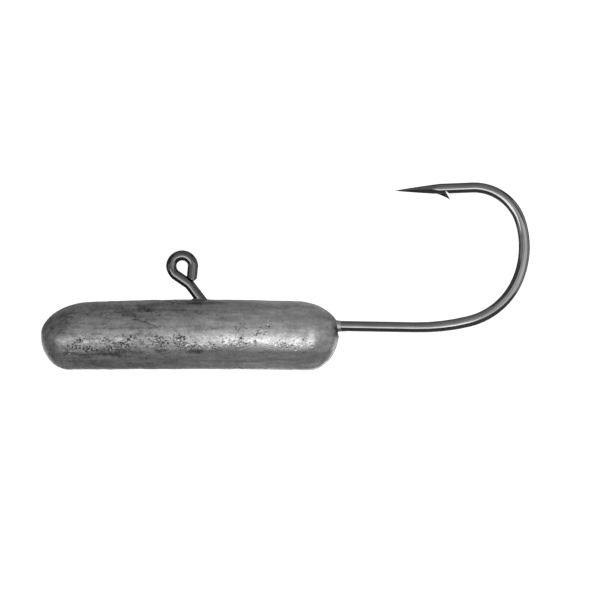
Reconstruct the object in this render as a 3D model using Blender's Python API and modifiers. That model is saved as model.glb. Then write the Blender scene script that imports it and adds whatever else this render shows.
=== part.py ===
"""A jig head for fishing: a bare lead body cast round the shank of a black-nickel wire hook.

Lengths are in millimetres until a mesh is made. The origin is the centre of the line eye, the
hook lies in the XZ plane, and its bend and point are on the +X side of the lead.
"""

import collections
import math

import bmesh
import bpy
from mathutils import Matrix, Vector

MM = 0.001
WELD = 1e-7  # metres
SHARP_ANGLE = math.radians(40)

# Hook wire
WIRE_RADIUS = 0.49
WIRE_RESOLUTION = 4  # a bevel resolution of 4 is a twelve-sided wire
BEND_STEP = 7.5  # degrees of bend between two points of the route

# Line eye: a loop round the origin, whose cut end lies against the wire that it came from
EYE_RADIUS = 1.065
EYE_ARM = 1.2
ARM_HEADING = 84.5
LOOP_EXIT_HEADING = -34.5
LOOP_EXIT_LENGTH = 1.39
CUT_GAP = 0.05

# Neck, from the loop down to the corner hidden in the lead
KINK_RADIUS = 1.2
NECK_HEADING = -52.7
CORNER_RADIUS = 1.5

# Shank, bend and point
SHANK_HEADING = -1.0
SHANK_FRONT_Z = -5.69
BEND_START_X = 22.94
BEND_ARCS = ((21.11, 14.4), (7.04, 54.5), (8.31, 40.1), (4.78, 74.3))
TIP_X = 20.97
POINT_LENGTH = 4.43
POINT_FULLNESS = 0.83
POINT_STATIONS = 9
TIP_RADIUS = 0.03

# Barb: a sliver lifted from the inner side of the point, and the nick that it leaves
BARB_ROOT_X = 24.64
BARB_ROOT_DEPTH = 0.1
BARB_TIP = (26.41, 6.56)
BARB_THICKNESS = 0.46
NICK_TOP = (25.84, 7.53)
NICK_REAR_X = 26.17
NICK_CLEARANCE = 0.6

# Lead body: a long round bullet, arched a little upwards, with a domed nose and rear.
# Each dome is longer above its tip than below it, and the body thins towards it.
LeadEnd = collections.namedtuple("LeadEnd", "x z top_length bottom_length thinning")
NOSE = LeadEnd(x=-13.88, z=-6.80, top_length=4.55, bottom_length=2.84, thinning=0.0009)
REAR = LeadEnd(x=15.43, z=-6.31, top_length=4.06, bottom_length=3.11, thinning=0.0003)
BELLY_X = 1.27
BELLY_Z = -6.70
BELLY_RADIUS = 3.40
ARCH_RADIUS = 388.0
LEAD_SIDES = 48
DOME_STATIONS = 10
BODY_STATIONS = 8
CHANNEL_GAP = 0.03


class Route:
    """The wire's centre line in the XZ plane, laid down run by run."""

    def __init__(self, start, heading):
        self.points = [start]
        self.heading = math.radians(heading)

    def straight(self, length):
        self.points.append(self.points[-1] + direction(self.heading) * length)

    def bend(self, radius, degrees):
        """Turns anticlockwise, or clockwise when degrees is negative."""
        chords = math.ceil(abs(degrees) / BEND_STEP)
        half_turn = math.radians(degrees) / chords / 2
        for _ in range(chords):
            self.heading += half_turn
            self.straight(2 * radius * math.sin(abs(half_turn)))
            self.heading += half_turn

    def turn_to(self, radius, heading):
        self.bend(radius, heading - math.degrees(self.heading))


def direction(heading):
    return Vector((math.cos(heading), 0, math.sin(heading)))


def clear_scene():
    for obj in list(bpy.data.objects):
        bpy.data.objects.remove(obj, do_unlink=True)


def new_collection(name):
    collection = bpy.data.collections.new(name)
    bpy.context.scene.collection.children.link(collection)
    return collection


def principled(name, color, metallic, roughness):
    material = bpy.data.materials.new(name)
    material.use_nodes = True
    shader = material.node_tree.nodes["Principled BSDF"]
    shader.inputs["Base Color"].default_value = (*color, 1)
    shader.inputs["Metallic"].default_value = metallic
    shader.inputs["Roughness"].default_value = roughness
    return material


def add_object(name, data, collection):
    obj = bpy.data.objects.new(name, data)
    collection.objects.link(obj)
    return obj


def as_mesh(obj):
    """Replaces the object by one that holds its evaluated mesh, closed and in world space."""
    bpy.context.view_layer.update()
    evaluated = obj.evaluated_get(bpy.context.evaluated_depsgraph_get())
    mesh = bpy.data.meshes.new_from_object(evaluated)
    mesh.transform(obj.matrix_world)
    name, collection = obj.name, obj.users_collection[0]
    bpy.data.objects.remove(obj, do_unlink=True)
    body = bmesh.new()
    body.from_mesh(mesh)
    bmesh.ops.remove_doubles(body, verts=body.verts, dist=WELD)
    bmesh.ops.recalc_face_normals(body, faces=body.faces)
    body.to_mesh(mesh)
    body.free()
    return add_object(name, mesh, collection)


def wire(name, points, radii, collection):
    curve = bpy.data.curves.new(name, "CURVE")
    curve.dimensions = "3D"
    curve.bevel_depth = MM
    curve.bevel_resolution = WIRE_RESOLUTION
    curve.use_fill_caps = True
    spline = curve.splines.new("POLY")
    spline.points.add(len(points) - 1)
    for point, place, radius in zip(spline.points, points, radii):
        point.co = (*(place * MM), 1)
        point.radius = radius
    return as_mesh(add_object(name, curve, collection))


def plate(name, corners, thickness, collection):
    """A flat piece with its corners in the XZ plane, half of its thickness on each side."""
    curve = bpy.data.curves.new(name, "CURVE")
    curve.dimensions = "2D"
    curve.fill_mode = "BOTH"
    curve.extrude = thickness / 2 * MM
    spline = curve.splines.new("POLY")
    spline.points.add(len(corners) - 1)
    spline.use_cyclic_u = True
    for point, (x, z) in zip(spline.points, corners):
        point.co = (x * MM, z * MM, 0, 1)
    obj = add_object(name, curve, collection)
    obj.matrix_world = Matrix.Rotation(math.radians(90), 4, "X")
    return as_mesh(obj)


def boolean(obj, other, operation):
    modifier = obj.modifiers.new(operation.lower() + "_" + other.name, "BOOLEAN")
    modifier.object = other
    modifier.operation = operation
    modifier.solver = "EXACT"


def finish(obj, material):
    obj.data.materials.clear()
    obj.data.materials.append(material)
    obj.data.shade_smooth()
    obj.data.set_sharp_from_angle(angle=SHARP_ANGLE)


def hook_route():
    """The hook's centre line from the cut end of the eye to the start of the point.

    Also the indexes of the two points between which the wire lies in the lead's channel.
    """
    arm = direction(math.radians(ARM_HEADING))
    loop_start = Vector((arm.z, 0, -arm.x)) * EYE_RADIUS
    route = Route(loop_start - arm * EYE_ARM, ARM_HEADING)
    route.straight(EYE_ARM)
    route.turn_to(EYE_RADIUS, LOOP_EXIT_HEADING + 360)
    route.heading = math.radians(LOOP_EXIT_HEADING)
    route.straight(LOOP_EXIT_LENGTH)
    route.turn_to(KINK_RADIUS, NECK_HEADING)
    channel_start = len(route.points) - 1

    neck, shank = math.radians(NECK_HEADING), math.radians(SHANK_HEADING)
    corner_drop = CORNER_RADIUS * (math.cos(shank) - math.cos(neck))
    neck_drop = route.points[-1].z - SHANK_FRONT_Z - corner_drop
    route.straight(neck_drop / -math.sin(neck))
    route.turn_to(CORNER_RADIUS, SHANK_HEADING)
    route.straight((BEND_START_X - route.points[-1].x) / math.cos(shank))
    channel_end = len(route.points) - 1

    for radius, degrees in BEND_ARCS:
        route.bend(radius, degrees)
    to_tip = (TIP_X - route.points[-1].x) / math.cos(route.heading)
    route.straight(to_tip - POINT_LENGTH)
    return route, channel_start, channel_end


def point_radius(from_tip):
    share = min(1, from_tip / POINT_LENGTH)
    return max(WIRE_RADIUS * share**POINT_FULLNESS, TIP_RADIUS)


def slant_cut_end(hook, start):
    """Slides the rim of the wire's first end so that the cut lies along the wire beside it."""
    arm = direction(math.radians(ARM_HEADING))
    across = direction(math.radians(LOOP_EXIT_HEADING + 90))
    face = CUT_GAP + WIRE_RADIUS - EYE_RADIUS
    for vertex in hook.data.vertices:
        place = vertex.co / MM
        in_cut = abs((place - start).dot(arm)) < CUT_GAP
        if in_cut and (place - start).length < 2 * WIRE_RADIUS:
            slide = (face - place.dot(across)) / arm.dot(across)
            vertex.co += arm * slide * MM


def cut_barb(hook, route, cutters):
    slope = math.tan(route.heading)
    shortening = math.cos(route.heading)

    def underside(x):
        centre = route.points[-1].z + (x - route.points[-1].x) * slope
        return centre - point_radius((TIP_X - x) / shortening)

    nick_rear = (NICK_REAR_X, underside(NICK_REAR_X))
    below = (NICK_REAR_X + NICK_CLEARANCE, nick_rear[1] - NICK_CLEARANCE)
    nick_corners = (NICK_TOP, BARB_TIP, below, nick_rear)
    boolean(hook, plate("barb_nick", nick_corners, 4 * WIRE_RADIUS, cutters), "DIFFERENCE")
    root = (BARB_ROOT_X, underside(BARB_ROOT_X) + BARB_ROOT_DEPTH)
    sliver = plate("barb_sliver", (root, BARB_TIP, NICK_TOP), BARB_THICKNESS, cutters)
    boolean(hook, sliver, "UNION")


def make_hook(collection, cutters):
    """The hook, and the wire-shaped tool that cuts its channel in the lead."""
    route, channel_start, channel_end = hook_route()
    points = list(route.points)
    radii = [WIRE_RADIUS] * len(points)
    for station in range(1, POINT_STATIONS + 1):
        along = POINT_LENGTH * station / POINT_STATIONS
        points.append(route.points[-1] + direction(route.heading) * along)
        radii.append(point_radius(POINT_LENGTH - along))
    hook = wire("jig_hook", points, radii, collection)
    slant_cut_end(hook, route.points[0])
    cut_barb(hook, route, cutters)

    buried = points[channel_start : channel_end + 1]
    channel_radii = [WIRE_RADIUS + CHANNEL_GAP] * len(buried)
    return hook, wire("wire_channel", buried, channel_radii, cutters)


def dome(share):
    """Height of an elliptical dome, from 0 at its tip to 1 where it meets the body."""
    return math.sqrt(1 - (1 - min(share, 1)) ** 2)


def lead_edges(x):
    """Heights of the lead's top and bottom outlines at x."""
    end = NOSE if x < BELLY_X else REAR
    from_belly, from_tip = x - BELLY_X, abs(x - end.x)
    axis = BELLY_Z - from_belly**2 / (2 * ARCH_RADIUS)
    radius = BELLY_RADIUS - end.thinning * from_belly**2
    top = end.z + (axis + radius - end.z) * dome(from_tip / end.top_length)
    bottom = end.z + (axis - radius - end.z) * dome(from_tip / end.bottom_length)
    return top, bottom


def lead_stations():
    """Positions along X, close together where the domes curve most."""
    turns = [math.pi / 2 * index / DOME_STATIONS for index in range(DOME_STATIONS + 1)]
    nose = [NOSE.x + NOSE.top_length * (1 - math.cos(turn)) for turn in turns]
    rear = [REAR.x - REAR.top_length * (1 - math.cos(turn)) for turn in turns]
    step = (rear[-1] - nose[-1]) / BODY_STATIONS
    body = [nose[-1] + step * index for index in range(1, BODY_STATIONS)]
    return nose + body + rear[::-1]


def make_lead(channel, collection):
    outline = bpy.data.meshes.new("lead_head")
    profile = []
    for x in reversed(lead_stations()):
        top, bottom = lead_edges(x)
        profile.append(((top - bottom) / 2 * MM, 0, x * MM))
    edges = [(index, index + 1) for index in range(len(profile) - 1)]
    outline.from_pydata(profile, edges, [])
    turned = add_object("lead_head", outline, collection)
    screw = turned.modifiers.new("turn", "SCREW")
    screw.steps = screw.render_steps = LEAD_SIDES
    screw.use_merge_vertices = True
    screw.merge_threshold = WELD
    turned.matrix_world = Matrix.Rotation(math.radians(90), 4, "Y")
    lead = as_mesh(turned)
    for vertex in lead.data.vertices:
        vertex.co.z += sum(lead_edges(vertex.co.x / MM)) / 2 * MM
    boolean(lead, channel, "DIFFERENCE")
    return lead


def build():
    clear_scene()
    parts = new_collection("jig_head")
    cutters = new_collection("cutters")
    hook, channel = make_hook(parts, cutters)
    lead = make_lead(channel, parts)
    finish(hook, principled("black_nickel", (0.05, 0.05, 0.055), 1.0, 0.2))
    finish(lead, principled("lead", (0.23, 0.23, 0.235), 0.8, 0.45))
    for cutter in cutters.objects:
        cutter.hide_render = True
        cutter.display_type = "WIRE"
    cutters.hide_render = True


build()
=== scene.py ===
"""The looks of a jig head: a bare cast-lead bullet on a black-nickel wire hook.

Lengths are in millimetres until a mesh is made, and the frame is the CAD model's: the line eye
is at the origin and the hook lies in the XZ plane. Angles round the lead are in degrees, 0 at
its front (-Y), 90 at its top and 180 at its back.
"""

import math

import bmesh
import bpy
import numpy as np
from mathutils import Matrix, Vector


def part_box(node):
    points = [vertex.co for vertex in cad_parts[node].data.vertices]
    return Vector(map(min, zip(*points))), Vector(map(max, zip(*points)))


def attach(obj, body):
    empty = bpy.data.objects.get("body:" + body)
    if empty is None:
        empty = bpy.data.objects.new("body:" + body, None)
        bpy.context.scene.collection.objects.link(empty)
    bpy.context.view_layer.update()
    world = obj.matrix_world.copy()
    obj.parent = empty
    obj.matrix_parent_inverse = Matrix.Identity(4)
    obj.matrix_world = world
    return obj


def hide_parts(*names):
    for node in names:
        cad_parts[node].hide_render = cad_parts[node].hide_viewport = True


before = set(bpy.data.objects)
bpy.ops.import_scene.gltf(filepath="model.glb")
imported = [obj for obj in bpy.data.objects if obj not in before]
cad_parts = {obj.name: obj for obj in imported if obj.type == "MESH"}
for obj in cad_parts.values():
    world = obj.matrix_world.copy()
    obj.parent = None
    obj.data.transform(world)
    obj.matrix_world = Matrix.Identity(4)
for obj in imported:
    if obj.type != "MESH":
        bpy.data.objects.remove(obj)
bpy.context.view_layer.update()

MM = 0.001
TURN = 2 * math.pi
rng = np.random.default_rng(7)

# ---------------------------------------------------------------- the wire
# Down to the tip's radius these are the part's own numbers, apart from a plated radius, a sharper
# tip and a closed gap at the cut end.
WIRE_RADIUS = 0.49
PLATED_RADIUS = 0.515
EYE_RADIUS = 1.065
EYE_ARM = 1.2
ARM_HEADING = 84.5
LOOP_EXIT_HEADING = -34.5
LOOP_EXIT_LENGTH = 1.39
CUT_GAP = -0.015
KINK_RADIUS = 1.2
NECK_HEADING = -52.7
CORNER_RADIUS = 1.5
SHANK_HEADING = -1.0
SHANK_FRONT_Z = -5.69
BEND_START_X = 22.94
BEND_ARCS = ((21.11, 14.4), (7.04, 54.5), (8.31, 40.1), (4.78, 74.3))
TIP_X = 20.97
POINT_LENGTH = 4.43
POINT_FULLNESS = 0.83
TIP_RADIUS = 0.015

# The point is ground to blunt edges: how wide it is left, the power of its section, from 2 for
# round to 1 for a diamond, and the length over which the grinding sets in.
GROUND_WIDTH, GROUND_POWER, GROUND_FADE = 0.80, 1.12, 0.9
# The bend is forged: a little wider in the hook's plane, and flatter across it.
FORGED_WIDER, FORGED_THINNER, FORGED_FADE = 0.07, 0.09, 5.0
# Painted shade and light on the wire: painted darker on the eye and the point, and painted lighter on the
# bend.
EYE_PAINTED_SHADE, EYE_PAINTED_SHADE_END, EYE_PAINTED_SHADE_FADE = 0.42, 13.0, 3.0
POINT_PAINTED_SHADE, POINT_PAINTED_SHADE_LENGTH = 0.18, 3.83
BEND_PAINTED_LIGHT = 0.2

# The mesh, and the angle past which one of its edges stays sharp.
WIRE_SIDES = 32
WIRE_STEP = 0.14
BEND_STEP = 4.0
SHARP_ANGLE = 35

# The eye's cut end: its rounded rim, the shear that lays it on the neck, and its outer corner.
CUT_ROUNDING, CUT_RINGS, CUT_FIRST_RING = 0.10, 7, 0.15
CUT_SHEAR_LENGTH = 0.9
CUT_CHAMFER_START, CUT_CHAMFER_SLOPE = 0.16, 1.25

# The barb's corners are x and z.
BARB_ROOT = (24.50, 7.26)
BARB_TIP = (26.41, 6.56)
BARB_HALF_WIDTH = 0.34
BARB_TAPER, BARB_NARROWING = 0.75, 0.15
BARB_HOLLOW = np.array([0.03, 0.09])
BARB_FLATNESS = 2.4
BARB_OVERLAP = 0.22
BARB_RINGS, BARB_SIDES = 12, 11
NICK_TOP = (25.84, 7.53)
NICK_REAR = (26.25, 7.20)
NICK_MOUTH = (26.95, 6.45)
NICK_HALF_WIDTH = 1

# ---------------------------------------------------------------- the lead: the part's own numbers
NOSE_Z, NOSE_TOP, NOSE_BOTTOM, NOSE_THINNING = -6.80, 4.55, 2.84, 0.0009
REAR_Z, REAR_TOP, REAR_BOTTOM, REAR_THINNING = -6.31, 4.06, 3.11, 0.0003
BELLY_X = 1.27
ARCH_RADIUS = 388.0
LEAD_LOW, LEAD_HIGH = (Vector(corner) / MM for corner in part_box("lead_head"))
NOSE_X = LEAD_LOW.x
REAR_X = 15.43
BELLY_RADIUS = LEAD_HIGH.y
BELLY_Z = LEAD_HIGH.z - BELLY_RADIUS

# The mesh, and the distance from a tip over which the skin's relief sets in.
LEAD_SIDES = 360
DOME_STATIONS = 84
BODY_STATIONS = 320
POLE_FADE = 0.25 / 6

# ---------------------------------------------------------------- the lead's skin
# Heights of the casting's swells and of the ripples and lines in its skin, with their lengths.
SWELL_HEIGHT, SWELL_LENGTH = 0.010, 2.1
ROLL_HEIGHT, ROLL_LENGTH = 0.006, 0.83
CHILL_HEIGHT, CHILL_SPACING, CHILL_SWAY = 0.0070, 0.42, 0.25
FINE_CHILL_HEIGHT, FINE_CHILL_SPACING = 0.0025, 0.19
DRAG_HEIGHT, DRAG_SPACING, DRAG_SWAY = 0.0022, 0.16, 0.08
SEAM_HEIGHT, SEAM_WIDTH, SEAM_SWAY = 0.045, 0.075, 0.02
SEAM_STEP, SEAM_STEP_WIDTH, SEAM_STEP_REACH = 0.012, 0.06, 0.9

# Groups of casting pits: x, angle, half-length, half-angle, and a count that PIT_CROWD multiplies.
PIT_GROUPS = (
    (-10.6, -20, 0.6, 8, 40),
    (-9.7, -6, 0.35, 5, 9),
    (-8.9, -22, 0.6, 5, 22),
    (-7.4, -9, 0.45, 6, 24),
    (-6.9, -21, 0.5, 6, 20),
    (-5.7, -19, 0.6, 8, 64),
    (-4.9, -6, 0.45, 4, 14),
    (-2.2, -11, 0.7, 7, 30),
    (-0.2, -9, 0.6, 7, 34),
    (0.8, -21, 0.8, 5, 20),
    (3.0, -20, 0.9, 6, 16),
    (5.4, -14, 1.6, 8, 30),
    (10.2, -17, 1.9, 8, 20),
    (7.5, 4, 0.4, 4, 16),
    (8.5, 17, 0.25, 3, 8),
    (6.4, 12, 1.6, 9, 8),
    (-9.4, 158, 0.9, 11, 44),
    (-3.1, 197, 1.1, 9, 50),
    (4.4, 171, 1.3, 12, 46),
    (10.9, 188, 1.0, 8, 26),
    (1.6, 148, 0.7, 6, 16),
    (-6.5, 262, 1.4, 12, 30),
    (6.8, 281, 1.6, 14, 34),
    (-1.0, 71, 0.8, 8, 14),
    (9.7, 104, 1.0, 9, 18),
)
PIT_CROWD = 3.0
PIT_SCATTER = 0.6
LONE_PITS, LONE_PIT_MARGIN = 90, 2
# Small pits are the commonest, the more so the higher the power.
PIT_RADIUS = (0.026, 0.086)
GROUP_SIZE_POWER, LONE_SIZE_POWER = 2.2, 3
PIT_DEPTH, PIT_DEPTH_SPREAD = 0.55, (0.6, 1.1)
PIT_STRETCH, PIT_LEAN = (0.8, 1.5), 0.5
# Across a pit, in its own radii: how far it acts, its hollow and stain, and its raised rim, which is
# painted brighter as a glint.
PIT_REACH, PIT_HOLLOW, PIT_STAIN = 3.5, 0.95, 1.05
RIM_PLACE, RIM_WIDTH, RIM_HEIGHT, RIM_PAINTED_GLINT = 1.7, 0.5, 0.22, 0.3
# Where a group's count is this many times its half-length by its half-angle, all its skin is pitted.
DENSE_PITS, DENSE_REACH = 4.0, 0.9

# Smudges of darker oxide, and painted shade: x, angle, half-length, half-angle, how dark. The smudge at x
# 2.3 is painted shade along the top beside the neck, and the one at x 13.7 is painted shade that ends the
# highlight at the rear.
SMUDGES_AND_PAINTED_SHADE = (
    (1.6, -28, 1.3, 5, 0.75),
    (8.1, -30, 1.8, 4, 0.65),
    (-1.8, -27, 0.9, 4, 0.5),
    (-7.0, -31, 2.6, 6, 0.5),
    (11.6, -29, 1.2, 5, 0.45),
    (-3.9, 47, 1.4, 7, 0.5),
    (13.7, -8, 0.7, 15, 0.35),
    (2.3, 66, 2.4, 10, 0.5),
    (8.2, 12, 0.7, 3, 0.4),
    (6.0, 152, 2.2, 8, 0.6),
    (-5.0, 205, 2.4, 9, 0.6),
    (0.5, 176, 1.6, 6, 0.45),
    (-2.0, 268, 3.0, 12, 0.5),
)
# Painted highlights, spots painted bright: x, angle, half-length, half-angle, how bright.
PAINTED_HIGHLIGHTS = (
    (-11.8, -3, 0.45, 9, 0.75),
    (-9.1, -9, 0.7, 4, 0.3),
    (-5.9, -6, 0.5, 4, 0.25),
    (4.6, -7, 0.8, 8, 0.2),
    (6.9, -9, 0.5, 5, 0.25),
    (8.5, -8, 1.2, 9, 0.15),
    (11.3, -7, 0.7, 11, 0.12),
    (12.75, -5, 0.35, 18, 0.65),
)
# Painted sheen: the underside is painted brighter towards the rear.
UNDERSIDE_PAINTED_SHEEN, UNDERSIDE_ANGLE, UNDERSIDE_HALF_ANGLE = 0.15, -42, 26
UNDERSIDE_START, UNDERSIDE_FULL = -4, 7
# One curved scratch, as x and angle.
SCRATCH = ((-5.2, 29), (-4.2, 26), (-3.2, 20), (-2.2, 12))
SCRATCH_DEPTH, SCRATCH_WIDTH, SCRATCH_FADE, SCRATCH_STAIN = 0.018, 0.05, 0.6, 0.6

# ---------------------------------------------------------------- the lead round the wire
# The lead that crept up the neck, with little of it behind.
CREEP_HEIGHT, CREEP_REACH, CREEP_BEHIND = 0.24, 0.15, 0.15
CREEP_STAIN, CREEP_STAIN_REACH = 0.5, 0.5
# The ring sunk round the shank's underside, and the painted shade of the hollow in the rear end below it.
SUNK_DEPTH, SUNK_PLACE = 0.10, 0.2
HOLLOW_Z, HOLLOW_HALF_WIDTH, HOLLOW_HALF_HEIGHT = -6.38, 2.1, 0.8
HOLLOW_PAINTED_SHADE, HOLLOW_PAINTED_SHADE_LOST_AT_BACK = 1.6, 0.45
REAR_FACE_START, REAR_FACE_FULL = 1.6, 0.8
# The torn lip round the shank. It starts inside the lead, LIP_DEPTH in front of the rear end.
LIP_SIDES, LIP_RINGS = 72, 8
LIP_DEPTH, LIP_ROOT, LIP_CAP = 1.0, 0.6, 0.5
LIP_REACH, LIP_TONGUE, LIP_TONGUE_TURN, LIP_TONGUE_WIDTH = 0.36, 0.5, 0.73, 0.45
LIP_THICKNESS, LIP_EDGE, LIP_WAVER, LIP_BITE = 0.07, 0.03, 0.015, 0.05
LIP_STAIN = -0.05


# ================================================================ meshes
def mesh_object(name, points, faces, **attributes):
    """A smooth-shaded object from points in millimetres, with a named number or vector per point."""
    mesh = bpy.data.meshes.new(name)
    mesh.from_pydata((np.asarray(points, float) * MM).tolist(), [], faces)
    for label, values in attributes.items():
        vector = np.ndim(values) == 2
        layer = mesh.attributes.new(label, "FLOAT_VECTOR" if vector else "FLOAT", "POINT")
        layer.data.foreach_set("vector" if vector else "value", np.ravel(values))
    body = bmesh.new()
    body.from_mesh(mesh)
    bmesh.ops.recalc_face_normals(body, faces=body.faces)
    body.to_mesh(mesh)
    body.free()
    mesh.shade_smooth()
    obj = bpy.data.objects.new(name, mesh)
    bpy.context.scene.collection.objects.link(obj)
    return obj


def faces_of_rings(rings, sides, start_pole, end_pole):
    """Quads between rings of vertices, and a fan of triangles at each pole."""
    faces = []
    for ring in range(rings - 1):
        low, high = ring * sides, (ring + 1) * sides
        for side in range(sides):
            after = (side + 1) % sides
            faces.append((low + side, low + after, high + after, high + side))
    last = (rings - 1) * sides
    for side in range(sides):
        after = (side + 1) % sides
        faces.append((start_pole, after, side))
        faces.append((end_pole, last + side, last + after))
    return faces


def bump(value, width):
    """A bell: 1 at a value of 0, and about a third of that at the width."""
    return np.exp(-((value / width) ** 2))


def ramp(low, high, value):
    """A smooth step from 0 at low to 1 at high, whichever of them is the larger."""
    share = np.clip((value - low) / (high - low), 0, 1)
    return share * share * (3 - 2 * share)


def wander(position, spacing, seed):
    """Smooth noise along a line, from -1 to 1, with a new value every so many millimetres."""
    values = np.random.default_rng(seed).uniform(-1, 1, 4096)
    place = np.asarray(position) / spacing + 2048
    cell = np.floor(place).astype(int)
    share = place - cell
    share = share * share * (3 - 2 * share)
    return values[cell] * (1 - share) + values[cell + 1] * share


# ================================================================ the hook
def heading_vector(degrees):
    angle = math.radians(degrees)
    return np.array([math.cos(angle), 0.0, math.sin(angle)])


class Route:
    """The wire's centre line in the XZ plane, as points and the heading at each of them."""

    def __init__(self, start, heading):
        self.points = [np.array(start, float)]
        self.headings = [heading]
        self.heading = heading

    def step(self, length, heading):
        self.points.append(self.points[-1] + heading_vector(heading) * length)

    def straight(self, length):
        count = max(1, round(length / WIRE_STEP))
        for _ in range(count):
            self.step(length / count, self.heading)
            self.headings.append(self.heading)

    def turn_to(self, radius, heading):
        degrees = heading - self.heading
        count = math.ceil(abs(degrees) / BEND_STEP)
        half = degrees / count / 2
        chord = 2 * radius * math.sin(math.radians(abs(half)))
        for _ in range(count):
            self.step(chord, self.heading + half)
            self.heading += 2 * half
            self.headings.append(self.heading)


def hook_route():
    """The hook's centre line, and the place where its neck and its shank pass out of the lead."""
    arm = heading_vector(ARM_HEADING)
    loop_start = np.array([arm[2], 0, -arm[0]]) * EYE_RADIUS
    route = Route(loop_start - arm * EYE_ARM, ARM_HEADING)
    route.straight(EYE_ARM)
    route.turn_to(EYE_RADIUS, LOOP_EXIT_HEADING + 360)
    route.heading -= 360
    route.straight(LOOP_EXIT_LENGTH)
    route.turn_to(KINK_RADIUS, NECK_HEADING)
    route.neck_start = route.points[-1]
    neck, shank = math.radians(NECK_HEADING), math.radians(SHANK_HEADING)
    corner_drop = CORNER_RADIUS * (math.cos(shank) - math.cos(neck))
    neck_drop = route.points[-1][2] - SHANK_FRONT_Z - corner_drop
    route.straight(neck_drop / -math.sin(neck))
    route.turn_to(CORNER_RADIUS, SHANK_HEADING)
    route.shank_start = route.points[-1]
    lead_top = BELLY_Z + BELLY_RADIUS
    drop = (route.neck_start[2] - lead_top) / -math.sin(neck)
    route.neck_exit = route.neck_start + heading_vector(NECK_HEADING) * drop
    route.straight((BEND_START_X - route.points[-1][0]) / math.cos(shank))
    route.bend_start = len(route.points) - 1
    for radius, degrees in BEND_ARCS:
        route.turn_to(radius, route.heading + degrees)
    route.bend_end = len(route.points) - 1
    to_tip = (TIP_X - route.points[-1][0]) / math.cos(math.radians(route.heading))
    route.straight(to_tip)
    return route


def hook_mesh(route):
    """The wire as rings along its route, with its grain and the shade and light painted on it."""
    points, headings = np.array(route.points), np.radians(route.headings)
    along = np.concatenate([[0], np.cumsum(np.linalg.norm(np.diff(points, axis=0), axis=1))])
    from_tip = along[-1] - along
    radius = PLATED_RADIUS * np.clip(from_tip / POINT_LENGTH, 0, 1) ** POINT_FULLNESS
    radius = np.maximum(radius, TIP_RADIUS)
    into_bend, to_bend_end = along - along[route.bend_start], along[route.bend_end] - along
    forged = ramp(0, FORGED_FADE, into_bend) * ramp(0, FORGED_FADE, to_bend_end)

    # The cut end's rim is rounded by close rings, which take the place of the first one.
    rounding = np.linspace(CUT_FIRST_RING, 1, CUT_RINGS) * math.pi / 2
    cut_along = CUT_ROUNDING * (1 - np.cos(rounding))
    rim = PLATED_RADIUS - CUT_ROUNDING * (1 - np.sin(rounding))
    arm = heading_vector(ARM_HEADING)
    keep = along > CUT_ROUNDING
    points = np.vstack([points[0] + np.outer(cut_along, arm), points[keep]])
    headings = np.append(np.full(len(cut_along), math.radians(ARM_HEADING)), headings[keep])
    radius = np.append(rim, radius[keep])
    forged = np.append(np.zeros(len(rim)), forged[keep])[:, None]
    along = np.append(cut_along, along[keep])
    from_tip = along[-1] - along

    # Each ring is a circle, made a little oval in the bend and diamond-like in the point.
    turns = np.arange(WIRE_SIDES) * TURN / WIRE_SIDES
    up = np.stack([-np.sin(headings), np.zeros_like(headings), np.cos(headings)], 1)
    ground = ramp(0, GROUND_FADE, POINT_LENGTH - from_tip)[:, None]
    power = 2 / (2 + (GROUND_POWER - 2) * ground)
    high = np.sign(np.cos(turns)) * np.abs(np.cos(turns)) ** power
    wide = np.sign(np.sin(turns)) * np.abs(np.sin(turns)) ** power * (1 + (GROUND_WIDTH - 1) * ground)
    high = high * (1 + FORGED_WIDER * forged)
    wide = wide * (1 - FORGED_THINNER * forged)
    out = high[..., None] * up[:, None] + wide[..., None] * np.array([0, 1, 0])
    rings = points[:, None] + radius[:, None, None] * out

    # A shear that fades out along the arm lays the cut end on the neck, with its outer corner off.
    across = heading_vector(LOOP_EXIT_HEADING + 90)
    face = CUT_GAP + WIRE_RADIUS - EYE_RADIUS
    fade = np.clip(1 - along / CUT_SHEAR_LENGTH, 0, 1) ** 2
    shift = (face - points[0] @ across) / (arm @ across)
    lateral = np.einsum("ijk,k->ij", rings - points[:, None], across) / (arm @ across)
    outward = np.einsum("ijk,k->ij", rings - points[:, None], heading_vector(ARM_HEADING - 90))
    chamfer = CUT_CHAMFER_SLOPE * np.maximum(outward - CUT_CHAMFER_START, 0)
    rings += (fade[:, None] * (shift - lateral + chamfer))[..., None] * arm
    start_pole = points[0] + arm * fade[0] * shift
    vertices = np.vstack([rings.reshape(-1, 3), start_pole, route.points[-1]])

    # The drawn wire's grain: round the wire, and slowly along it.
    grain = np.stack(np.broadcast_arrays(np.cos(turns), np.sin(turns), along[:, None]), -1)
    grain = np.vstack([grain.reshape(-1, 3), (0, 0, 0), (0, 0, along[-1])])
    # painted shade on the eye and the point, and painted light on the bend
    heavy = EYE_PAINTED_SHADE * ramp(EYE_PAINTED_SHADE_END, EYE_PAINTED_SHADE_END - EYE_PAINTED_SHADE_FADE, along)
    heavy = np.maximum(heavy, POINT_PAINTED_SHADE * ramp(POINT_PAINTED_SHADE_LENGTH, 0, from_tip))
    heavy -= BEND_PAINTED_LIGHT * forged[:, 0]
    heavy = np.append(np.repeat(heavy, WIRE_SIDES), (heavy[0], heavy[-1]))
    count = len(rings)
    faces = faces_of_rings(count, WIRE_SIDES, count * WIRE_SIDES, count * WIRE_SIDES + 1)
    return mesh_object("hook", vertices, faces, grain=grain, heavy=heavy)


def nick_cutter():
    """The wedge that is cut from the wire behind the barb."""
    corners = (NICK_TOP, BARB_TIP, NICK_MOUTH, NICK_REAR)
    count = len(corners)
    points = [(x, y, z) for y in (-NICK_HALF_WIDTH, NICK_HALF_WIDTH) for x, z in corners]
    faces = [tuple(range(count)), tuple(range(2 * count - 1, count - 1, -1))]
    faces += [(i, (i + 1) % count, count + (i + 1) % count, count + i) for i in range(count)]
    return mesh_object("nick", points, faces)


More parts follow.
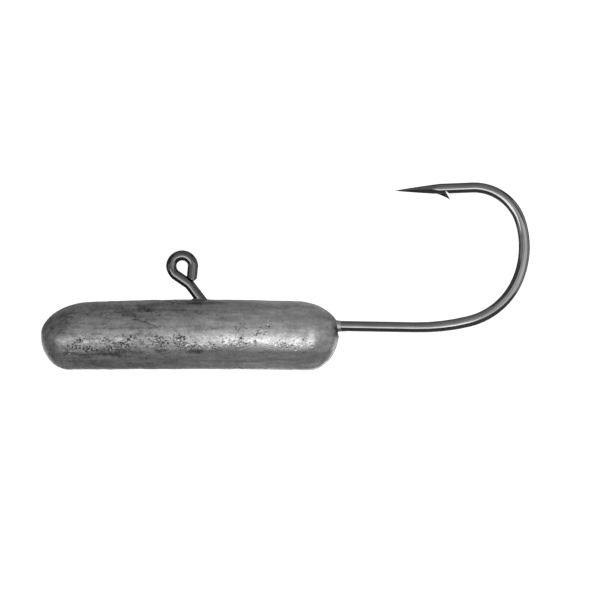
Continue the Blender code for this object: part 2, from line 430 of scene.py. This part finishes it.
def barb_sliver():
    """The sliver between the nick and the wire's underside: flat inside, round outside."""
    root, tip, top = (np.array(corner) for corner in (BARB_ROOT, BARB_TIP, NICK_TOP))
    inner_start = top + (top - tip) * BARB_OVERLAP
    turns = np.linspace(0, math.pi, BARB_SIDES)
    shares = np.linspace(0, 1, BARB_RINGS + 1)[:-1]
    points = []
    for share in shares:
        outer = root + (tip - root) * share + BARB_HOLLOW * math.sin(math.pi * share)
        inner = inner_start + (tip - inner_start) * share
        half_width = BARB_HALF_WIDTH * (1 - share) ** BARB_TAPER * (1 - BARB_NARROWING * share)
        for turn in turns:
            x, z = outer + (inner - outer) * (1 - math.sin(turn) ** BARB_FLATNESS)
            points.append((x, half_width * math.cos(turn), z))
    middle = (inner_start + root) / 2
    poles = len(points), len(points) + 1
    points += [(middle[0], 0, middle[1]), (tip[0], 0, tip[1])]
    return mesh_object("sliver", points, faces_of_rings(len(shares), len(turns), *poles))


def apply_boolean(obj, other, operation):
    """Makes the Boolean's result the object's own mesh, and removes the other object."""
    modifier = obj.modifiers.new("cut", "BOOLEAN")
    modifier.object = other
    modifier.operation = operation
    modifier.solver = "EXACT"
    bpy.context.view_layer.update()
    evaluated = obj.evaluated_get(bpy.context.evaluated_depsgraph_get())
    mesh = bpy.data.meshes.new_from_object(evaluated)
    obj.modifiers.clear()
    obj.data = mesh
    bpy.data.objects.remove(other, do_unlink=True)


def make_hook(route):
    hook = hook_mesh(route)
    apply_boolean(hook, nick_cutter(), "DIFFERENCE")
    apply_boolean(hook, barb_sliver(), "UNION")
    hook.data.shade_smooth()
    hook.data.set_sharp_from_angle(angle=math.radians(SHARP_ANGLE))
    return hook


# ================================================================ the lead
def dome(share):
    """Height of a quarter circle, from 0 at its tip to 1 at its foot, at a share of the way in."""
    return np.sqrt(1 - (1 - np.minimum(share, 1)) ** 2)


def lead_outline(x):
    """Heights of the lead's top and bottom at x."""
    nose = x < BELLY_X
    tip_x = np.where(nose, NOSE_X, REAR_X)
    tip_z = np.where(nose, NOSE_Z, REAR_Z)
    thinning = np.where(nose, NOSE_THINNING, REAR_THINNING)
    from_belly, from_tip = x - BELLY_X, np.abs(x - tip_x)
    axis = BELLY_Z - from_belly**2 / (2 * ARCH_RADIUS)
    radius = BELLY_RADIUS - thinning * from_belly**2
    top = dome(from_tip / np.where(nose, NOSE_TOP, REAR_TOP))
    bottom = dome(from_tip / np.where(nose, NOSE_BOTTOM, REAR_BOTTOM))
    return tip_z + (axis + radius - tip_z) * top, tip_z + (axis - radius - tip_z) * bottom


def lead_stations():
    """Stations along x, close together at both tips."""
    turns = np.linspace(0, math.pi / 2, DOME_STATIONS + 1)[1:]
    nose = NOSE_X + NOSE_TOP * (1 - np.cos(turns))
    rear = REAR_X - REAR_TOP * (1 - np.cos(turns))
    body = np.linspace(nose[-1], rear[-1], BODY_STATIONS + 1)[1:-1]
    return np.concatenate([nose, body, rear[::-1]])


def grid_normals(grid):
    """Outward normals at the points of a grid."""
    along = np.gradient(grid, axis=0)
    around = np.roll(grid, -1, axis=1) - np.roll(grid, 1, axis=1)
    normals = np.cross(along, around)
    return normals / np.linalg.norm(normals, axis=-1, keepdims=True)


def pits():
    """Each pit's x, angle in radians and radius, group by group and then scattered."""
    smallest, largest = PIT_RADIUS
    found = []
    for x, angle, half_length, half_angle, count in PIT_GROUPS:
        for _ in range(round(count * PIT_CROWD)):
            size = rng.uniform(0, 1) ** GROUP_SIZE_POWER
            found.append((
                x + half_length * rng.normal() * PIT_SCATTER,
                math.radians(angle + half_angle * rng.normal() * PIT_SCATTER),
                smallest + (largest - smallest) * size,
            ))
    for _ in range(LONE_PITS):
        size = rng.uniform(0, 1) ** LONE_SIZE_POWER
        found.append((
            rng.uniform(NOSE_X + LONE_PIT_MARGIN, REAR_X - LONE_PIT_MARGIN),
            rng.uniform(0, TURN),
            smallest + (largest - smallest) * size,
        ))
    return found


def turned_from(turns, angle):
    """How far each direction is turned from an angle in radians, from minus to plus half a turn."""
    return (turns - angle + math.pi) % TURN - math.pi


def spot_distance(x, turns, spot):
    """Distance from a spot's centre at every x and angle, where 1 is the edge of its ellipse."""
    spot_x, angle, half_length, half_angle = spot
    across = turned_from(turns, math.radians(angle)) / math.radians(half_angle)
    return np.hypot((x[:, None] - spot_x) / half_length, across[None])


def dig_pits(relief, stain, x, turns, radius):
    """Presses the pits into the relief, each stained and with a faint raised rim painted brighter as a
    glint.
    """
    for pit_x, pit_turn, size in pits():
        stretch, lean = rng.uniform(*PIT_STRETCH), rng.uniform(-PIT_LEAN, PIT_LEAN)
        depth = PIT_DEPTH * size * rng.uniform(*PIT_DEPTH_SPREAD)
        near = np.nonzero(np.abs(x - pit_x) < PIT_REACH * size * stretch)[0]
        if not len(near):
            continue
        rows = slice(near[0], near[-1] + 1)
        across = turned_from(turns, pit_turn) * radius[rows].mean()
        near = np.nonzero(np.abs(across) < PIT_REACH * size)[0]
        forward = (x[rows, None] - pit_x) / stretch + lean * across[None, near]
        distance = np.hypot(forward, across[None, near]) / size
        cells = np.ix_(np.arange(rows.start, rows.stop), near)
        rim = bump(distance - RIM_PLACE, RIM_WIDTH)
        relief[cells] += depth * (RIM_HEIGHT * rim - bump(distance, PIT_HOLLOW))
        # the rim is painted brighter: a painted glint
        stain[cells] = np.maximum(stain[cells] - RIM_PAINTED_GLINT * rim, bump(distance, PIT_STAIN))


def pitted_skin(x, turns):
    """How densely pitted the skin is, from 0 to 1."""
    pitted = np.zeros((len(x), len(turns)))
    for *spot, count in PIT_GROUPS:
        half_length, half_angle = spot[2:]
        density = min(count / (half_length * half_angle) / DENSE_PITS, 1)
        pitted = np.maximum(pitted, density * bump(spot_distance(x, turns, spot), DENSE_REACH))
    return pitted


def cast_relief(x, turns, y, radius):
    """How far the cast skin stands out from the smooth bullet, before its pits and its scratch."""
    arc = turns[None, :] * radius[:, None]
    xs = np.broadcast_to(x[:, None], arc.shape)
    swell = np.sin(xs / SWELL_LENGTH + 1.3 * np.sin(turns * 2)[None]) * np.cos(turns * 3)[None]
    relief = SWELL_HEIGHT * swell
    relief += ROLL_HEIGHT * np.sin(xs / ROLL_LENGTH + turns[None] * 3 + 1.7)
    # chill ripples across the lead, stronger in its rear half, and fine drag lines along it
    sway = CHILL_SWAY * np.sin(turns * 2 + 0.7)[None]
    relief += CHILL_HEIGHT * wander(xs + sway, CHILL_SPACING, 3) * (0.35 + 0.65 * ramp(0, 6, xs))
    relief += FINE_CHILL_HEIGHT * wander(xs + 2 * sway, FINE_CHILL_SPACING, 4)
    drag = wander(arc + DRAG_SWAY * wander(xs, 2.4, 5), DRAG_SPACING, 6)
    relief += DRAG_HEIGHT * drag * (0.5 + 0.5 * wander(xs, 1.9, 8))
    # the mould's parting line, with a slight step between its two halves
    height = SEAM_HEIGHT * (0.6 + 0.4 * wander(x, 0.7, 9))[:, None]
    relief += height * bump(y - SEAM_SWAY * wander(x, 1.1, 10)[:, None], SEAM_WIDTH)
    relief += SEAM_STEP * np.tanh(y / SEAM_STEP_WIDTH) * bump(y, SEAM_STEP_REACH)
    return relief


def scratch_mark(x, turns, radius):
    """The scratch, from 0 to 1."""
    marks_x, marks_angle = (np.array(values, float) for values in zip(*SCRATCH))
    scratch_arc = np.radians(np.interp(x, marks_x, marks_angle)) * radius
    inside = ramp(marks_x[0], marks_x[0] + SCRATCH_FADE, x)
    inside = inside * ramp(marks_x[-1], marks_x[-1] - SCRATCH_FADE, x)
    arc = turns[None, :] * radius[:, None]
    return bump(arc - scratch_arc[:, None], SCRATCH_WIDTH) * inside[:, None]


def lead_skin(x, turns, y, radius):
    """The skin's relief in millimetres, and its stain with painted light and shade: up to 1 where dark,
    below 0 where painted bright.
    """
    relief = cast_relief(x, turns, y, radius)
    stain = np.zeros_like(relief)
    dig_pits(relief, stain, x, turns, radius)
    xs = np.broadcast_to(x[:, None], relief.shape)
    around = turns[None]
    ragged = 1 + 0.45 * wander(xs + 5 * around, 0.5, 14) + 0.3 * wander(xs - 9 * around, 0.2, 15)
    # darker oxide smudges, two of them painted shade
    for *spot, dark in SMUDGES_AND_PAINTED_SHADE:
        stain = np.maximum(stain, dark * bump(spot_distance(x, turns, spot) * ragged, 1))
    scratch = scratch_mark(x, turns, radius)
    relief -= SCRATCH_DEPTH * scratch
    stain = np.maximum(stain, SCRATCH_STAIN * scratch)
    # painted sheen: the underside is painted brighter towards the rear
    under = turned_from(turns, math.radians(UNDERSIDE_ANGLE))
    painted_sheen = UNDERSIDE_PAINTED_SHEEN * ramp(UNDERSIDE_START, UNDERSIDE_FULL, xs)
    stain -= painted_sheen * bump(under, math.radians(UNDERSIDE_HALF_ANGLE))[None]
    wavy = 1 + 0.2 * wander(xs + 3 * around, 0.25, 16)
    # painted highlights: each spot is painted brighter and smoother
    for *spot, bright in PAINTED_HIGHLIGHTS:
        # squaring the distance first makes a flat-topped spot
        stain -= bright * bump((spot_distance(x, turns, spot) * wavy) ** 2, 1)
    return relief, stain


def distance_to_wire(points, start, heading):
    """Distance from the wire's surface, for a straight stretch of wire through start."""
    direction = heading_vector(heading)
    offset = points - start
    across = offset - (offset @ direction)[..., None] * direction
    return np.linalg.norm(across, axis=-1) - WIRE_RADIUS


def neck_marks(smooth, route):
    """The lead that crept up the neck, and its stain."""
    at_neck = np.maximum(distance_to_wire(smooth, route.neck_start, NECK_HEADING), 0)
    on_top = smooth[..., 2] > BELLY_Z + 2
    neck_x = route.neck_exit[0]
    share = 1 - (1 - CREEP_BEHIND) * ramp(neck_x - 0.5, neck_x + 0.3, smooth[..., 0])
    creep = on_top * share * CREEP_HEIGHT * bump(at_neck, CREEP_REACH)
    return creep, on_top * CREEP_STAIN * bump(at_neck, CREEP_STAIN_REACH)


def rear_marks(smooth, route):
    """How far the rear end is sunk round the shank, and the shade painted into the hollow below it."""
    behind = ramp(REAR_X - REAR_FACE_START, REAR_X - REAR_FACE_FULL, smooth[..., 0])
    at_shank = distance_to_wire(smooth, route.shank_start, SHANK_HEADING)
    below = ramp(-0.35, 0.35, route.shank_start[2] - smooth[..., 2])
    sunk = SUNK_DEPTH * behind * below * bump(at_shank - SUNK_PLACE, SUNK_PLACE)
    # painted shade: the hollow below the shank is painted dark, less so at the back
    sideways, upward = smooth[..., 1], smooth[..., 2] - HOLLOW_Z
    distance = np.hypot(sideways / HOLLOW_HALF_WIDTH, upward / HOLLOW_HALF_HEIGHT)
    distance *= 1 + 0.12 * wander(upward + 0.6 * sideways, 0.45, 17)
    at_back = 1 - HOLLOW_PAINTED_SHADE_LOST_AT_BACK * ramp(0, 0.8, sideways)
    return sunk, HOLLOW_PAINTED_SHADE * behind * bump(distance**2, 0.8) * at_back


def lead_lip(route):
    """The thin torn sleeve of lead that the mould left round the shank where it leaves the head."""
    turns = np.arange(LIP_SIDES) * TURN / LIP_SIDES
    torn = 0.75 + 0.3 * wander(turns * 1.3, 0.5, 11) + 0.18 * wander(turns, 0.13, 12)
    below = 0.55 + 0.45 * ramp(-0.2, 0.5, -np.sin(turns))
    tongue = LIP_TONGUE * bump(turns - LIP_TONGUE_TURN * TURN, LIP_TONGUE_WIDTH)
    reach = LIP_REACH * torn * below + tongue
    direction, up = heading_vector(SHANK_HEADING), heading_vector(SHANK_HEADING + 90)
    around = np.cos(turns)[:, None] * (0, -1, 0) + np.sin(turns)[:, None] * up
    start = route.shank_start + direction * (REAR_X - LIP_DEPTH - route.shank_start[0])
    rings = []
    for share in np.linspace(0, 1, LIP_RINGS):
        forward = LIP_ROOT + (LIP_DEPTH - LIP_ROOT + reach) * share
        waver = LIP_WAVER * wander(turns * 2 + share * 3, 0.2, 13)
        thick = LIP_EDGE + LIP_THICKNESS * (1 - share) + waver
        rings.append(start + forward[:, None] * direction + (WIRE_RADIUS + thick)[:, None] * around)
    # the last ring turns in to the wire and bites into it a little
    rings.append(start + forward[:, None] * direction + (WIRE_RADIUS - LIP_BITE) * around)
    points = np.vstack(rings + [start + LIP_CAP * direction, start + LIP_DEPTH * direction])
    count = len(rings) * LIP_SIDES
    return points, faces_of_rings(len(rings), LIP_SIDES, count, count + 1)


def smooth_lead():
    """The bullet before its skin: stations along x, angles, each station's radius, and points."""
    x = lead_stations()
    top, bottom = lead_outline(x)
    radius, centre = (top - bottom) / 2, (top + bottom) / 2
    turns = np.arange(LEAD_SIDES) * TURN / LEAD_SIDES
    smooth = np.empty((len(x), LEAD_SIDES, 3))
    smooth[..., 0] = x[:, None]
    smooth[..., 1] = -radius[:, None] * np.cos(turns)
    smooth[..., 2] = centre[:, None] + radius[:, None] * np.sin(turns)
    return x, turns, radius, smooth


def make_lead(route):
    x, turns, radius, smooth = smooth_lead()
    relief, stain = lead_skin(x, turns, smooth[..., 1], radius)
    creep, neck_stain = neck_marks(smooth, route)
    sunk, rear_stain = rear_marks(smooth, route)
    # the painted shade of the rear hollow and the neck's stain darken the skin
    dark = np.maximum(rear_stain, neck_stain)
    stain += np.maximum(dark - np.maximum(stain, 0), 0)
    pole_fade = ramp(0, POLE_FADE, np.minimum(x - NOSE_X, REAR_X - x))[:, None]
    grid = smooth + grid_normals(smooth) * ((relief + creep) * pole_fade)[..., None]
    grid[..., 0] -= sunk

    poles = [(NOSE_X, 0, NOSE_Z), (grid[-1, :, 0].mean(), 0, REAR_Z)]
    points = np.vstack([grid.reshape(-1, 3), poles])
    count = len(x) * LEAD_SIDES
    faces = faces_of_rings(len(x), LEAD_SIDES, count, count + 1)
    lip_points, lip_faces = lead_lip(route)
    faces += [tuple(index + len(points) for index in face) for face in lip_faces]
    points = np.vstack([points, lip_points])
    stain = np.concatenate([stain.ravel(), (0, 0), np.full(len(lip_points), LIP_STAIN)])
    pitted = np.append(pitted_skin(x, turns).ravel(), np.zeros(2 + len(lip_points)))
    return mesh_object("lead", points, faces, stain=stain, pitted=pitted)


# ================================================================ materials
class Nodes:
    """Short ways to add nodes to a material: sockets go in by name, and sockets come out."""

    def __init__(self, name):
        self.material = bpy.data.materials.new(name)
        self.material.use_nodes = True
        self.tree = self.material.node_tree
        self.shader = self.tree.nodes["Principled BSDF"]

    def add(self, kind, output=0, operation=None, **inputs):
        node = self.tree.nodes.new("ShaderNode" + kind)
        if operation:
            node.operation = operation
        for name, value in inputs.items():
            key = int(name[1:]) if name[0] == "_" else name.replace("_", " ")
            self.feed(node.inputs[key], value)
        return node.outputs[output]

    def feed(self, socket, value):
        if isinstance(value, bpy.types.NodeSocket):
            self.tree.links.new(value, socket)
        else:
            socket.default_value = value

    def millimetres(self, scale=(1, 1, 1)):
        """The object's own coordinates, in millimetres, stretched."""
        place = self.add("TexCoord", "Object")
        return self.add("Mapping", Vector=place, Scale=[s / MM for s in scale])

    def along(self):
        """The object's own x, in millimetres."""
        return self.add("SeparateXYZ", "X", Vector=self.millimetres())

    def noise(self, vector, scale, detail=3.0, roughness=0.55):
        return self.add("TexNoise", "Fac", Vector=vector, Scale=scale, Detail=detail, Roughness=roughness)

    def attribute(self, name, output):
        value = self.add("Attribute", output)
        value.node.attribute_name = name
        return value

    def math(self, operation, first, second=0.0):
        return self.add("Math", 0, operation, _0=first, _1=second)

    def spread(self, value, low, high):
        """Maps the middle of a noise, 0.3 to 0.7, to low to high."""
        return self.add("MapRange", "Result", Value=value, _1=0.3, _2=0.7, _3=low, _4=high)

    def colors(self, value, stops):
        result = self.add("ValToRGB", "Color", Fac=value)
        ramp_stops = result.node.color_ramp.elements
        for _ in range(len(stops) - 2):
            ramp_stops.new(0.5)
        for element, (position, grey) in zip(ramp_stops, stops):
            element.position = position
            element.color = (grey, grey, grey, 1)
        return result

    def bumps(self, height, strength, distance, normal=None):
        result = self.add("Bump", "Normal", Height=height, Strength=strength, Distance=distance * MM)
        if normal:
            self.feed(result.node.inputs["Normal"], normal)
        return result

    def finish(self, **inputs):
        for name, value in inputs.items():
            self.feed(self.shader.inputs[name.replace("_", " ")], value)
        return self.material


# Part of the oxide skin scatters light instead of mirroring it.
LEAD_METAL = 0.72


def lead_material():
    """Bare cast lead: grey metal with a mottled oxide skin, drawn out along the mould."""
    n = Nodes("cast lead")
    plain = n.millimetres()
    streaks = n.noise(n.millimetres((0.30, 1.9, 1.9)), 1.0, 6.0, 0.62)
    clouds = n.noise(plain, 0.55, 5.0, 0.6)
    mottle = n.noise(n.millimetres((0.8, 1, 1)), 2.6, 4.0, 0.65)
    grain = n.noise(plain, 9.0, 3.0, 0.7)
    stain = n.attribute("stain", "Fac")
    tone = n.math("ADD", n.spread(streaks, -0.20, 0.20), n.spread(clouds, -0.11, 0.11))
    tone = n.math("ADD", tone, n.spread(mottle, -0.14, 0.14))
    tone = n.math("ADD", tone, n.spread(grain, -0.18, 0.18))
    # the colour is brighter and the surface smoother towards the rear
    rear_gradient = n.add("MapRange", "Result", Value=n.along(), _1=-3.0, _2=9.0, _3=-0.18, _4=0.11)
    tone = n.math("ADD", tone, n.math("ADD", rear_gradient, 0.5))
    # the stain attribute darkens stains and pits, and also carries painted shade, painted highlights and
    # painted sheen
    tone = n.math("SUBTRACT", tone, n.math("MULTIPLY", stain, 0.55))
    # among the pits lie dark specks, and bright specks that are painted glints
    specks = n.spread(n.noise(n.millimetres((1, 1.2, 1.2)), 4.2, 2.0, 0.6), -0.55, 0.75)
    specks = n.math("MULTIPLY", specks, n.attribute("pitted", "Fac"))
    tone = n.math("ADD", tone, specks)
    color = n.colors(tone, ((0.0, 0.06), (0.35, 0.25), (0.65, 0.36), (1.0, 0.60)))
    rough = n.math("ADD", n.spread(mottle, 0.46, 0.36), n.spread(grain, 0.07, -0.07))
    rough = n.math("SUBTRACT", rough, n.math("MULTIPLY", rear_gradient, 0.45))
    rough = n.math("ADD", rough, n.math("MULTIPLY", stain, 0.3))
    rough = n.math("SUBTRACT", rough, n.math("MULTIPLY", specks, 0.25))
    skin = n.bumps(n.noise(n.millimetres((0.25, 3.5, 3.5)), 1.6, 5.0, 0.6), 0.35, 0.03)
    skin = n.bumps(n.noise(plain, 5.0, 4.0, 0.65), 0.35, 0.03, skin)
    skin = n.bumps(n.noise(n.millimetres((1, 1, 0.6)), 13.0, 2.0, 0.6), 0.45, 0.010, skin)
    skin = n.bumps(specks, 1.0, 0.03, skin)
    return n.finish(Base_Color=color, Metallic=LEAD_METAL, Roughness=rough, Normal=skin)


def nickel_material():
    """Black nickel over drawn wire: dark, glossy, and finely lined along the wire."""
    n = Nodes("black nickel plate")
    place = n.attribute("grain", "Vector")
    lines = n.noise(n.add("Mapping", Vector=place, Scale=(5.5, 5.5, 0.22)), 1.0, 4.0, 0.6)
    patches = n.noise(n.add("Mapping", Vector=place, Scale=(1.2, 1.2, 0.5)), 1.0, 3.0, 0.55)
    specks = n.noise(n.millimetres(), 14.0, 2.0, 0.5)
    tone = n.math("ADD", n.spread(lines, 0.53, 0.77), n.spread(patches, -0.14, 0.14))
    # painted shade and light: the eye and the point are painted darker, the bend lighter
    tone = n.math("SUBTRACT", tone, n.attribute("heavy", "Fac"))
    color = n.colors(tone, ((0.0, 0.07), (0.35, 0.13), (0.65, 0.185), (1.0, 0.25)))
    rough = n.math("ADD", n.spread(patches, 0.07, 0.115), n.spread(specks, -0.01, 0.02))
    skin = n.bumps(lines, 0.10, 0.008)
    return n.finish(Base_Color=color, Metallic=1.0, Roughness=rough, Normal=skin)


# ================================================================ the object
route = hook_route()
hook, lead = make_hook(route), make_lead(route)
for piece, node, slot, material in (
    (hook, "jig_hook", "black_nickel", nickel_material()),
    (lead, "lead_head", "lead", lead_material()),
):
    piece.data.materials.clear()
    piece.data.materials.append(material)
    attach(piece, "root")
    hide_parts(node)

# ================================================================ the stage
CAMERA_X, CAMERA_Z = 11.61, -3.32
CAMERA_DISTANCE = 328.3
FLOOR_Z, FLOOR_RADIUS, BACKDROP_RADIUS = -350, 1900, 2000
AMBIENT = 0.16
# The floor's own glow, near the middle and far from it, and where it starts and ends, in metres.
FLOOR_GLOW, WHITE_GLOW = 0.72, 1.0
GLOW_START, GLOW_END = 0.3, 1.3

# Soft boxes: azimuth from the front towards +X, elevation, distance, width, height, radiance.
LIGHTS = (
    ("key", -12, -20, 320, 278, 168, 3.35),
    ("key_right", 35, -7, 400, 380, 280, 1.4),
    ("middle", -8, 7, 360, 230, 124, 0.85),
    ("fill_left", -56, -3, 520, 340, 230, 0.55),
    ("fill_high", 8, 34, 620, 900, 520, 0.46),
    ("top", 10, 78, 620, 800, 500, 0.28),
    ("right", 88, 6, 520, 440, 700, 0.48),
    ("back_top", 180, 36, 620, 700, 380, 0.42),
    ("back_low", 180, -48, 520, 700, 500, 0.22),
    ("back_left", 217, -10, 560, 340, 180, 1.1),
    ("back_right", 144, -10, 560, 340, 180, 0.9),
    ("back_key", 188, -13, 560, 520, 170, 2.6),
)


def direction_to(azimuth, elevation):
    a, e = math.radians(azimuth), math.radians(elevation)
    return Vector((math.sin(a) * math.cos(e), -math.cos(a) * math.cos(e), math.sin(e)))


def soft_box(name, azimuth, elevation, distance, width, height, radiance):
    light = bpy.data.lights.new(name, "AREA")
    light.shape = "RECTANGLE"
    light.size, light.size_y = width * MM, height * MM
    light.energy = radiance * math.pi * light.size * light.size_y
    box = bpy.data.objects.new(name, light)
    direction = direction_to(azimuth, elevation)
    box.location = direction * distance * MM
    box.rotation_euler = direction.to_track_quat("Z", "Y").to_euler()
    box.visible_camera = False
    bpy.context.scene.collection.objects.link(box)


def stage_material(name, near_glow):
    """A pale matt surface, lifted to white far from the object so that no edge of it shows."""
    n = Nodes(name)
    away = n.add("VectorMath", "Value", "LENGTH", _0=n.add("TexCoord", "Object"))
    glow = n.add("MapRange", "Result", Value=away, _1=GLOW_START, _2=GLOW_END, _3=near_glow, _4=WHITE_GLOW)
    return n.finish(
        Base_Color=(0.8, 0.8, 0.8, 1), Roughness=0.9, Emission_Color=(1, 1, 1, 1),
        Emission_Strength=glow, Specular_IOR_Level=0.1,
    )


def make_stage():
    """A pale floor far below and a white backdrop all round, seen by the camera only."""
    floor = bmesh.new()
    bmesh.ops.create_circle(floor, cap_ends=True, segments=64, radius=FLOOR_RADIUS * MM)
    backdrop = bmesh.new()
    bmesh.ops.create_icosphere(backdrop, subdivisions=4, radius=BACKDROP_RADIUS * MM)
    for name, body, z, material in (
        ("floor", floor, FLOOR_Z, stage_material("pale floor", FLOOR_GLOW)),
        ("backdrop", backdrop, 0, stage_material("white backdrop", WHITE_GLOW)),
    ):
        mesh = bpy.data.meshes.new(name)
        body.to_mesh(mesh)
        body.free()
        mesh.materials.append(material)
        obj = bpy.data.objects.new(name, mesh)
        obj.location.z = z * MM
        obj.visible_glossy = obj.visible_diffuse = obj.visible_shadow = False
        bpy.context.scene.collection.objects.link(obj)


make_stage()
for light_numbers in LIGHTS:
    soft_box(*light_numbers)

world = bpy.data.worlds.new("studio")
bpy.context.scene.world = world
world.use_nodes = True
background = world.node_tree.nodes["Background"]
background.inputs["Color"].default_value = (1, 1, 1, 1)
background.inputs["Strength"].default_value = AMBIENT
bpy.context.scene.view_settings.view_transform = "Standard"

camera_data = bpy.data.cameras.new("camera")
camera_data.lens = 200
camera_data.sensor_width = 36
camera_data.clip_start = 0.01
camera_data.clip_end = 10
camera = bpy.data.objects.new("camera", camera_data)
camera.location = Vector((CAMERA_X, -CAMERA_DISTANCE, CAMERA_Z)) * MM
camera.rotation_euler = (math.radians(90), 0, 0)
bpy.context.scene.collection.objects.link(camera)
bpy.context.scene.camera = camera
